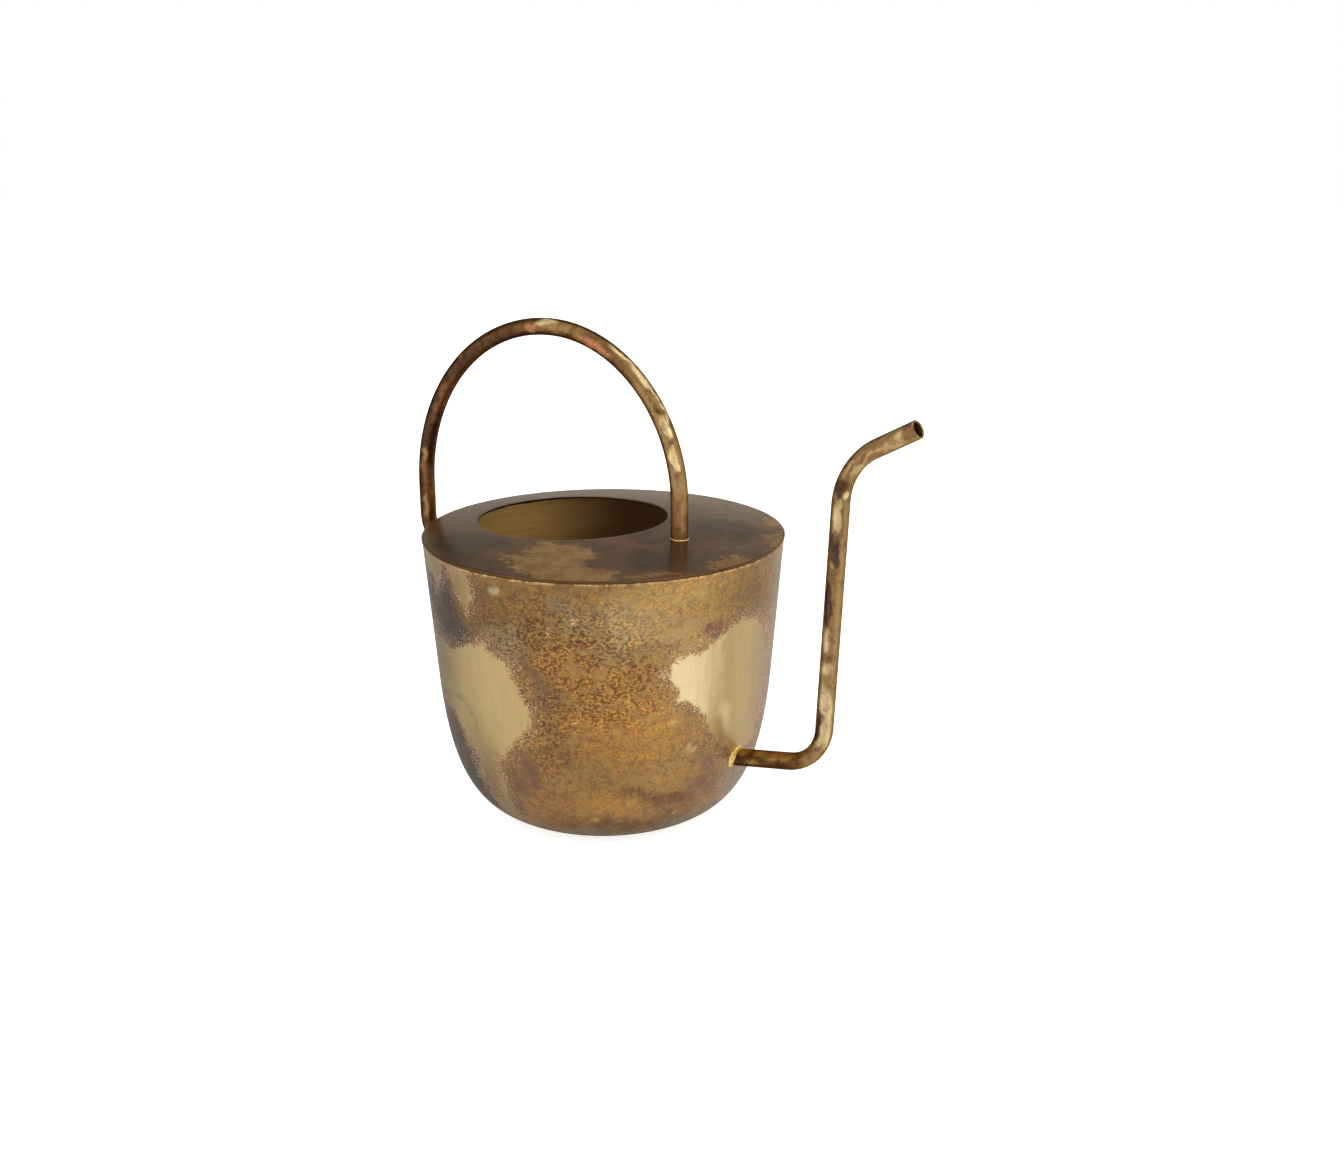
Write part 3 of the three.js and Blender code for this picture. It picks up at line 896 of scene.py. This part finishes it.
# -------------------- the top plate's patina
# Areas on the top plate: colour, strength, softness, then each ellipse's x, y, half sizes (mm) and any tilt.
PLATE_BASE = (124, 106, 86)
PLATE_LAYERS = (
    ((154, 134, 108), 0.6, 6, ((40, 48, 22, 16, -40), (10, 62, 26, 8), (62, 14, 10, 18))),
    ((110, 102, 92), 0.6, 6, ((-62, 20, 14, 40), (-45, 52, 24, 12, 35))),
    ((96, 90, 74), 0.7, 4, ((-22, -54, 24, 12, -20), (46, -26, 13, 15), (44, 24, 18, 14, -30))),
    ((84, 80, 66), 0.7, 3, ((22, 2, 4, 22, 10), (50, 24, 16, 2, 40), (32, -12, 9, 3, 60))),
    ((150, 110, 86), 0.7, 3, (
        (-4, -52, 6, 16, -30), (34, -34, 3, 16, 20), (26, -18, 16, 5), (50, 6, 3, 16, 10),
    )),
)
# Golden, worn areas with a ragged edge.
BLOOMS = (
    (14, -46, 16, 13, -35), (30, -60, 20, 10, 10), (6, -38, 10, 5), (20, -64, 24, 6, -16),
    (70, -12, 4, 9), (67, 26, 3, 12, 22), (58, -42, 9, 2.4, 45), (53, 50, 8, 3, -45),
)


def paint_plate(plate):
    places = point_places(plate)
    loose = places[:, :2] + wander(places, 12, 4) + wander(places, 4, 1.6)
    colours = plain(places, PLATE_BASE)
    for colour, strength, softness, ellipses in PLATE_LAYERS:
        for x, y, *shape in ellipses:
            colours = lay(colours, ellipse_field(loose, (x, y), *shape), colour, strength, softness)
    paint(plate, "tint", colours)
    golden = np.full(len(places), OUTSIDE)
    for x, y, *shape in BLOOMS:
        golden = np.maximum(golden, ellipse_field(loose, (x, y), *shape))
    paint(plate, "golden", golden)


def plate_brass():
    """The plate's brown patina, glossy, with ragged golden places and a dark edge of painted seam shade."""
    material, nodes = new_material("patinated_plate")
    grain = nodes.noise(nodes.place, 0.9, 5, 0.7)
    cells = nodes.noise(nodes.place, 2.6, 5, 0.7)
    blotches = nodes.noise(nodes.place, 7, 5, 0.7)
    streaks = nodes.noise(nodes.stretched((0.5, 0.12, 1)), 1, 3)
    shade = nodes.painted("tint", "Color")
    dark = nodes.times(nodes.ease(blotches, 0.5, 0.66), 0.55)
    shade = nodes.tinted(dark, shade, (0.62, 0.58, 0.52))
    ruddy = nodes.times(nodes.ease(blotches, 0.5, 0.36), 0.6)
    shade = nodes.tinted(ruddy, shade, (1.26, 1.05, 0.88))
    flecks = nodes.times(nodes.ease(cells, 0.56, 0.66), 0.5)
    shade = nodes.tinted(flecks, shade, (1.5, 1.36, 1.2))

    ragged = nodes.math("SUBTRACT", cells, 0.5)
    golden = nodes.scaled(ragged, 14, nodes.painted("golden"))
    golden = nodes.scaled(nodes.math("SUBTRACT", grain, 0.5), 7, golden)
    fringe = nodes.times(nodes.ease(golden, -5, -0.5), 0.5)
    shade = nodes.mix(fringe, shade, tone(150, 112, 86))
    bloom = nodes.mix(nodes.ease(blotches, 0.42, 0.6), tone(214, 172, 114), tone(184, 144, 90))
    shade = nodes.mix(nodes.times(nodes.ease(golden, -0.8, 1.2), 0.9), shade, bloom)

    shade = nodes.shaded(shade, nodes.scaled(grain, 0.5, 0.75), nodes.scaled(streaks, 0.3, 0.85))
    # Painted shade of the seam: the plate's rounded outer edge is darkened all round.
    radius = nodes.vector("LENGTH", nodes.stretched((1, 1, 0)))
    edge = nodes.ease(radius, PLATE_RADIUS / MM - 0.55, PLATE_RADIUS / MM - 0.25)
    shade = nodes.mix(edge, shade, tone(92, 66, 40))
    relief = nodes.scaled(grain, 0.12, nodes.times(nodes.noise(nodes.place, 22, 2), 2))
    roughness = nodes.scaled(cells, 0.14, 0.15)
    nodes.metal(shade, 0.9, roughness, nodes.bump(relief, 0.06), (0.75, 0.66, 0.56, 1))
    return material


# -------------------- the tubes' patina
# Marks on a tube: colour, strength, softness, then for each mark the distance from the tube's foot (mm), the
# degrees round it from the outside of the arch towards -Y, half length, half width (mm) and any tilt.
# Some of the marks below are painted shade and painted highlights, as noted at each.
HANDLE_BASE = (116, 82, 48)
HANDLE_MARKS_AND_SHADE = (
    ((156, 124, 78), 0.8, 1.5, ((28, 60, 26, 4.4), (62, 50, 18, 3), (112, 70, 12, 2.4))),
    ((70, 47, 29), 0.88, 5, ((206, 110, 56, 7),)),
    ((84, 60, 46), 0.7, 3, (
        (170, 90, 16, 3), (212, 120, 8, 3), (140, 110, 6, 3), (76, 100, 8, 2),
    )),
    # Painted shade: thin dark strips along the tubes' edges, nearly black along the rear leg.
    ((40, 27, 18), 0.9, 1.5, (
        (150, 12, 20, 2), (182, 34, 22, 2), (216, 48, 24, 2), (246, 52, 16, 2),
        (90, 132, 20, 1), (132, 150, 18, 1.2), (40, 132, 22, 0.8), (105, 0, 24, 1),
    )),
    ((146, 100, 66), 0.7, 1, (
        (5, 60, 6, 5), (14, 90, 6, 3), (190, 140, 12, 2), (236, 150, 10, 2),
    )),
    ((218, 194, 142), 0.95, 0.5, (
        (33, 54, 5.5, 2, 8), (45, 40, 5.5, 1.7, 10), (67, 22, 5, 1.5, -6), (55, 8, 9, 0.7),
        (78, 12, 7, 0.8), (118.8, 55, 3.4, 1.4), (115.8, 35, 4, 1),
    )),
    ((168, 142, 104), 0.7, 1.2, ((21, 72, 4, 1.1, 10), (8, 44, 4, 1))),
    ((172, 118, 82), 0.85, 0.7, ((90.5, 88, 9, 1.9, 4), (125, 92, 2.2, 1.8, 20))),
    ((138, 96, 66), 0.8, 0.9, ((201, 116, 4, 1.4, 10), (228, 120, 5, 1.2))),
    ((170, 136, 88), 0.75, 0.6, ((168, 70, 1.4, 0.8), (221, 118, 3, 1.4), (246, 124, 5, 1.2))),
    ((96, 70, 46), 0.8, 0.4, (
        (39, 50, 0.8, 2.4, 24), (52, 34, 1, 2, -20), (30, 70, 3, 0.5, 30), (60, 30, 3, 0.6, 20),
    )),
)
SPOUT_BASE = (150, 121, 79)
SPOUT_MARKS_AND_LIGHT = (
    # Dark brown patina on the root section, darkened further towards its underside as painted shade, and two
    # dark marks.
    ((88, 58, 34), 0.88, 2, ((9, 60, 17, 12), (30, 90, 8, 4, 20), (152, 80, 3, 4))),
    # Mostly painted highlights along the top of the root section, and one small gold mark on its front.
    ((176, 134, 72), 0.85, 0.8, (
        (8, 150, 4, 1.6), (17, 140, 4, 1.5, 10), (27, 130, 6, 1.6), (13, 80, 3, 1),
    )),
    # Pale marks. The long one round the back of the riser, facing the bowl, is a painted highlight that
    # lightens the riser's reflection in the bowl.
    ((206, 182, 134), 0.9, 0.8, (
        (55, 54, 8, 2.8), (66, 70, 7, 2.4, 10), (80, 70, 1.7, 3.4, 16), (91.5, 92, 4.6, 1.6),
        (141, 76, 7, 1.8), (96, 190, 44, 3.4),
    )),
    ((186, 158, 108), 0.85, 0.8, ((166, 60, 8, 3.4), (180, 90, 12, 3))),
    ((150, 120, 78), 0.8, 1.5, ((108, 20, 26, 3), (75, 10, 10, 2.2))),
    ((80, 61, 54), 0.95, 0.3, (
        (106, 92, 9, 2.1), (127.3, 76, 7.4, 1.9, 4), (55, 110, 8.5, 1.2, -6), (150, 96, 2.4, 1.6),
    )),
    ((122, 90, 62), 0.85, 0.4, (
        (84.2, 86, 2.6, 1.9, 30), (160, 70, 8, 0.7, 8), (164, 110, 9, 0.8, -6), (172, 50, 5, 1.1),
        (176, 100, 6, 1.2, 8), (188, 74, 3, 2), (141, 42, 7, 0.8, 4), (168, 84, 5, 0.7, 20),
        (190, 110, 4, 1.4), (116, 70, 3, 1.2, 30), (98, 60, 4, 0.6, 20), (134, 50, 3, 1, -30),
        (62, 96, 4, 0.7, 30), (46, 80, 4, 0.8, -30),
    )),
    # Painted highlights: a small glint, and one at the tip's end.
    ((230, 204, 146), 0.9, 0.5, ((149.4, 31, 1.4, 1.4), (194, 20, 3, 2))),
)


def unroll_tube(places, line):
    """Distance along a tube's centre line and angle round it, for each point of its mesh."""
    centres = np.array([sample[0] for sample in line]) / MM
    directions = np.array([sample[1] for sample in line])
    walked = np.concatenate(([0], np.cumsum(np.linalg.norm(np.diff(centres, axis=0), axis=1))))
    flat = places[:, (0, 2)]
    nearest = np.array([np.argmin(np.sum((centres - spot) ** 2, axis=1)) for spot in flat])
    offset = flat - centres[nearest]
    outside = np.stack((directions[nearest, 1], -directions[nearest, 0]), axis=1)
    along = walked[nearest] + np.sum(offset * directions[nearest], axis=1)
    return along, np.arctan2(-places[:, 1], np.sum(offset * outside, axis=1))


def paint_tube(tube, line, base, layers):
    places = point_places(tube)
    along, around = unroll_tube(places, line)
    radius = TUBE_RADIUS / MM
    loose = wander(places, 6, 1.4) + wander(places, 2.2, 0.7)
    colours = plain(places, base)
    for colour, strength, softness, marks in layers:
        for distance, turn, *shape in marks:
            offset = (around - math.radians(turn) + math.pi) % (2 * math.pi) - math.pi
            flat = np.stack((along - distance, offset * radius), axis=1) + loose
            colours = lay(colours, ellipse_field(flat, (0, 0), *shape), colour, strength, softness)
    paint(tube, "tint", colours)


def tube_brass(name, smoothest):
    """A tube's clouded patina. Its roughness rises from the smoothest with the grain."""
    material, nodes = new_material(name)
    grain = nodes.noise(nodes.place, 0.8, 5, 0.7)
    cloud = nodes.noise(nodes.place, 4.5, 6, 0.75)
    shade = nodes.painted("tint", "Color")
    dark = nodes.times(nodes.ease(cloud, 0.5, 0.6), 0.7)
    shade = nodes.tinted(dark, shade, (0.56, 0.48, 0.42))
    pale = nodes.times(nodes.ease(cloud, 0.44, 0.34), 0.7)
    shade = nodes.tinted(pale, shade, (1.35, 1.3, 1.2))
    shade = nodes.shaded(shade, nodes.scaled(grain, 1.1, 0.45))
    relief = nodes.scaled(grain, 0.4, nodes.noise(nodes.place, 5, 2))
    roughness = nodes.scaled(grain, 0.2, smoothest)
    nodes.metal(shade, 0.93, roughness, nodes.bump(relief, 0.06), (0.42, 0.32, 0.24, 1))
    return material


def solder_brass():
    material, nodes = new_material("solder_beads")
    grain = nodes.noise(nodes.place, 0.6, 4, 0.6)
    shade = nodes.mix(nodes.ease(grain, 0.35, 0.7), tone(196, 154, 78), tone(244, 212, 132))
    roughness = nodes.scaled(grain, 0.16, 0.14)
    nodes.metal(shade, 1, roughness, nodes.bump(grain, 0.05))
    return material


# -------------------- the studio
# What the metal reflects: the brightness of the whole studio, what is added near the horizon and overhead,
# and the heights between which each of those comes up, from 0 for level to 1 for straight up.
BACKDROP = 0.4
HORIZON = 0.5
HORIZON_HEIGHTS = (0.3, 0.08)
CEILING = 1.5
CEILING_HEIGHTS = (0.75, 0.95)
# Light panels that stand round the object: where each starts and ends, in degrees from the camera's side
# towards its right, how softly it starts and ends, and its brightness.
PANELS = (
    (-45, 34, 20, 20, 0.6),
    (30, 74, 14, 12, 1.5),
    (74, 150, 12, 40, 0.9),
    (-100, -42, 30, 14, 1.15),
)
PANEL_HEIGHTS = (0.95, 0.7)
FRONT_AZIMUTH = VIEW_AZIMUTH - math.pi / 2  # of the camera's side
TABLE_WHITE = (0.85, 0.85, 0.85, 1)
TABLE_SHEEN = (0.9, 0.9, 0.9, 1)
TABLE_GLOW = 0.75  # added where the camera sees the table, to match the backdrop
TABLE_GLOW_IN_METAL = 0.16  # added where the metal reflects it


def make_world():
    """A plain white backdrop. What the metal reflects is a grey studio with light panels."""
    world = bpy.data.worlds.new("studio")
    bpy.context.scene.world = world
    world.use_nodes = True
    nodes = Nodes(world.node_tree)
    ray = nodes.add("ShaderNodeTexCoord", {}).outputs["Generated"]
    front = nodes.vector("DOT_PRODUCT", ray, (math.cos(FRONT_AZIMUTH), math.sin(FRONT_AZIMUTH), 0))
    side = nodes.vector("DOT_PRODUCT", ray, (-math.sin(FRONT_AZIMUTH), math.cos(FRONT_AZIMUTH), 0))
    azimuth = nodes.math("DEGREES", nodes.math("ARCTAN2", side, front))
    height = nodes.add("ShaderNodeSeparateXYZ", {0: ray}).outputs[2]
    glow = nodes.scaled(nodes.ease(height, *HORIZON_HEIGHTS), HORIZON, BACKDROP)
    glow = nodes.scaled(nodes.ease(height, *CEILING_HEIGHTS), CEILING, glow)
    level = nodes.ease(height, *PANEL_HEIGHTS)
    for start, end, start_soft, end_soft, strength in PANELS:
        panel = nodes.times(level, nodes.ease(azimuth, start - start_soft / 2, start + start_soft / 2))
        panel = nodes.times(panel, nodes.ease(azimuth, end + end_soft / 2, end - end_soft / 2))
        glow = nodes.scaled(panel, strength, glow)
    studio = nodes.add("ShaderNodeBackground", {"Strength": glow}).outputs[0]
    white = nodes.add("ShaderNodeBackground", {"Color": (1, 1, 1, 1)}).outputs[0]
    seen = nodes.add("ShaderNodeLightPath", {}).outputs["Is Camera Ray"]
    mixed = nodes.add("ShaderNodeMixShader", {0: seen, 1: studio, 2: white}).outputs[0]
    nodes.add("ShaderNodeOutputWorld", {0: mixed})


def make_floor():
    """A white table, a little glossy where the metal reflects it."""
    reach = 6
    corners = [(-reach, -reach, 0), (reach, -reach, 0), (reach, reach, 0), (-reach, reach, 0)]
    mesh = bpy.data.meshes.new("studio_floor")
    mesh.from_pydata(corners, [], [(0, 1, 2, 3)])
    floor = bpy.data.objects.new("studio_floor", mesh)
    bpy.context.scene.collection.objects.link(floor)
    floor.location.z = -0.05 * MM
    material, nodes = new_material("white_table")
    seen = nodes.add("ShaderNodeLightPath", {}).outputs["Is Camera Ray"]
    paper = nodes.add("ShaderNodeBsdfDiffuse", {"Color": TABLE_WHITE}).outputs[0]
    glow = nodes.add("ShaderNodeEmission", {"Strength": TABLE_GLOW}).outputs[0]
    lit = nodes.add("ShaderNodeAddShader", {0: paper, 1: glow}).outputs[0]
    sheen = nodes.add("ShaderNodeBsdfGlossy", {"Color": TABLE_SHEEN, "Roughness": 0.12}).outputs[0]
    glossy = nodes.add("ShaderNodeMixShader", {0: 0.7, 1: paper, 2: sheen}).outputs[0]
    faint = nodes.add("ShaderNodeEmission", {"Strength": TABLE_GLOW_IN_METAL}).outputs[0]
    glossy = nodes.add("ShaderNodeAddShader", {0: glossy, 1: faint}).outputs[0]
    both = nodes.add("ShaderNodeMixShader", {0: seen, 1: glossy, 2: lit}).outputs[0]
    nodes.add("ShaderNodeOutputMaterial", {0: both})
    mesh.materials.append(material)


# -------------------- putting it together
def add_bowl():
    bowl = make_bowl(body_brass())
    bowl.data.materials.append(inner_brass())
    middle = Vector((0, 0, TOP_Z / 2))
    for polygon in bowl.data.polygons:
        faces_inwards = polygon.normal.dot(polygon.center - middle) < 0
        polygon.material_index = 1 if faces_inwards else 0
    paint_bowl(bowl)


def add_tubes():
    line = handle_samples(spacing=0.8 * MM)
    material = tube_brass("patinated_handle", smoothest=0.26)
    handle = make_tube("handle", line, HANDLE_FLATTENING, material, "handle_tube")
    paint_tube(handle, line, HANDLE_BASE, HANDLE_MARKS_AND_SHADE)
    line = spout_samples(spacing=0.7 * MM)
    material = tube_brass("patinated_spout", smoothest=0.28)
    spout = make_tube("spout", line, SPOUT_FLATTENING, material, "spout_tube")
    paint_tube(spout, line, SPOUT_BASE, SPOUT_MARKS_AND_LIGHT)


def add_solder():
    """The bead under the plate, and a fillet where each end of a tube meets the bowl or the plate."""
    solder = solder_brass()
    make_seam_bead(solder)
    up = Vector((0, 0, 1))
    front_x = CROWN_X + FRONT_ARC
    foot = Vector((front_x, 0, plate_z(front_x, 0)))
    make_fillet(
        "front_solder", foot, up, spread=0.4 * MM, rise=0.4 * MM, seat=on_plate, seed=3, material=solder,
        node="handle_front_solder",
    )
    back = Vector((-1, 0, 0))
    rear_z = REAR_LEG_END_Z - LEG_BEND
    foot = Vector((-wall_radius(rear_z), 0, rear_z))
    make_fillet(
        "rear_solder", foot, back, spread=1.4 * MM, rise=1.4 * MM, seat=lambda point: on_wall(point, back),
        seed=7, material=solder, node="handle_rear_solder",
    )
    root = root_direction()
    foot = spout_wall_point()
    make_fillet(
        "root_solder", foot, root, spread=1.1 * MM, rise=1.8 * MM, seat=lambda point: on_wall(point, root),
        seed=11, material=solder, node="spout_root_solder",
    )


make_camera()
make_world()
make_floor()
bpy.context.scene.view_settings.view_transform = "Standard"
add_bowl()
paint_plate(make_plate(plate_brass()))
add_tubes()
add_solder()
